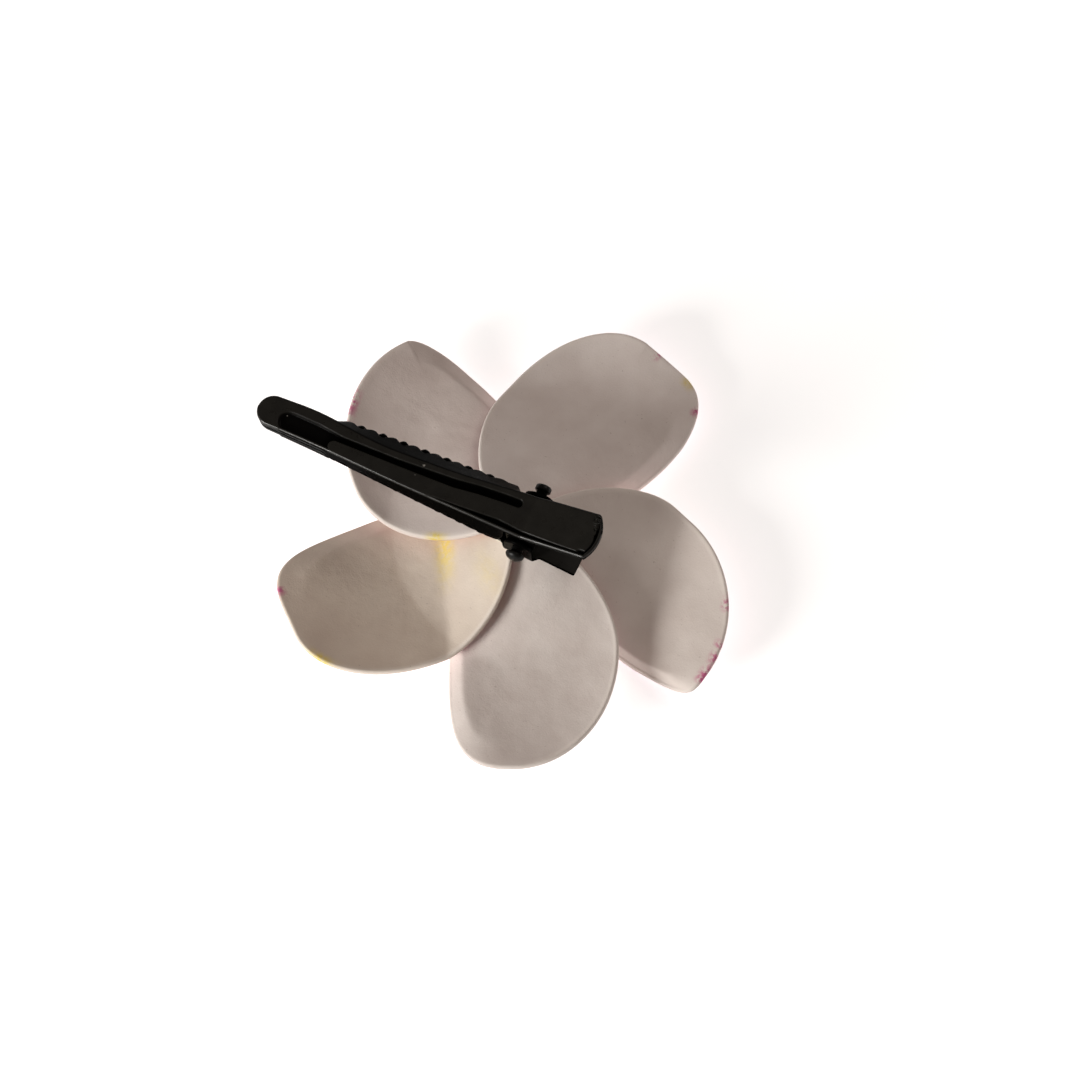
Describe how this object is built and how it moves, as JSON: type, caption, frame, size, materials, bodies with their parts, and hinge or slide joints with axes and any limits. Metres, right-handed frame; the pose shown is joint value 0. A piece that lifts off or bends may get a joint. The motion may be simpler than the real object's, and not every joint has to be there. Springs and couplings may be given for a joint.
{
  "type": "flower hair clip",
  "caption": "Sprung steel alligator hair clip with a large white tropical flower of overlapping foam petals glued across its back.",
  "frame": {"origin": "on the surface that the petals stand on, under the middle of the whole outline", "axes": "+X along the clip from its tip to its tails, +Z from the flower's face to its back, where the clip is, +Y completes the right-handed frame along the pivot pin"},
  "size_m": [0.0767, 0.0726, 0.0252],
  "materials": {
    "petal_foam": "matt fine-pored foam sheet",
    "throat_foam": "matt",
    "glue": "set hot-melt glue, satin",
    "black_steel": "semi-gloss black enamel",
    "pin_steel": "blackened, semi-gloss",
    "spring_steel": "drawn wire"
  },
  "bodies": {
    "flower_side": {"petal_1": "petal_foam", "petal_2": "petal_foam", "petal_3": "petal_foam", "petal_4": "petal_foam", "petal_5": "petal_foam", "flower_core": "throat_foam", "glue_pad": "glue", "inner_jaw": "black_steel", "pivot_pin": "pin_steel", "torsion_spring": "spring_steel"},
    "lever_side": {"outer_jaw": "black_steel"}
  },
  "joints": [
    {"name": "jaw_hinge", "type": "hinge", "parent": "flower_side", "child": "lever_side", "pos_m": [0.0055, -0.00275, 0.01885], "axis": [0, 1, 0], "range_deg": [0, 36], "stiffness_Nm_per_rad": 0.02, "springref_deg": -22.92, "deforming": ["torsion_spring"]}
  ]
}
